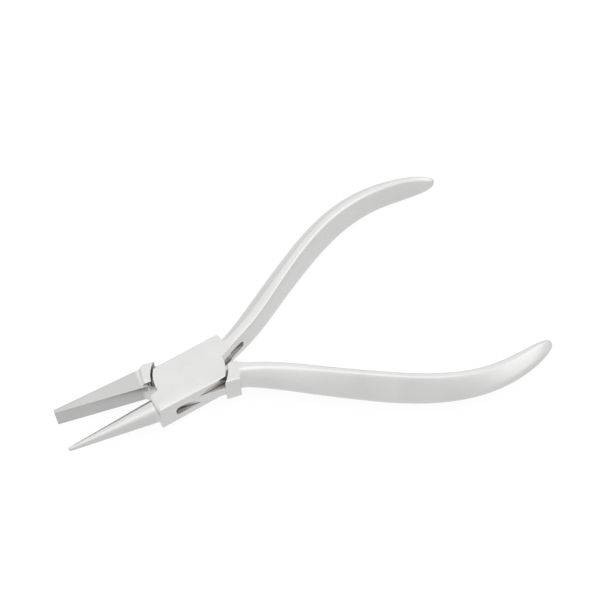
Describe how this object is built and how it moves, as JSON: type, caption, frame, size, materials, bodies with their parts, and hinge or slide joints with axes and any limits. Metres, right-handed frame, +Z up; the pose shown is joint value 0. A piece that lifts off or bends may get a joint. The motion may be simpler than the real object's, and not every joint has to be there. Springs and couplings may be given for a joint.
{
  "type": "box-joint jewellery pliers",
  "caption": "Polished steel box-joint jewellery pliers with one flat jaw and one round conical jaw on bare bowed handles, hinged on a flush rivet",
  "frame": {"origin": "on the pivot axis, in the plane of the lower cheek's outer face, which is also the rivet's lower end", "axes": "+X along the tool from the pivot to the jaw tips, halfway between the two open jaws; +Y across it, to the round jaw's side; +Z up along the pivot axis"},
  "size_m": [0.126, 0.0756, 0.0118],
  "materials": {
    "box_half_steel": "forged steel, ground and mirror polished, with a fine satin grain on the handle",
    "tongue_half_steel": "forged steel, ground and mirror polished, with a fine satin grain on the handle",
    "rivet_steel": "steel, ground flush with the cheeks and polished with them"
  },
  "bodies": {
    "box_body": {"box_half": "box_half_steel", "pivot_rivet": "rivet_steel"},
    "tongue_body": {"tongue_half": "tongue_half_steel"}
  },
  "joints": [
    {"name": "pivot", "type": "hinge", "parent": "box_body", "child": "tongue_body", "pos_m": [0, 0, 0], "axis": [0, 0, 1], "range_deg": [-22, 14.4]}
  ]
}
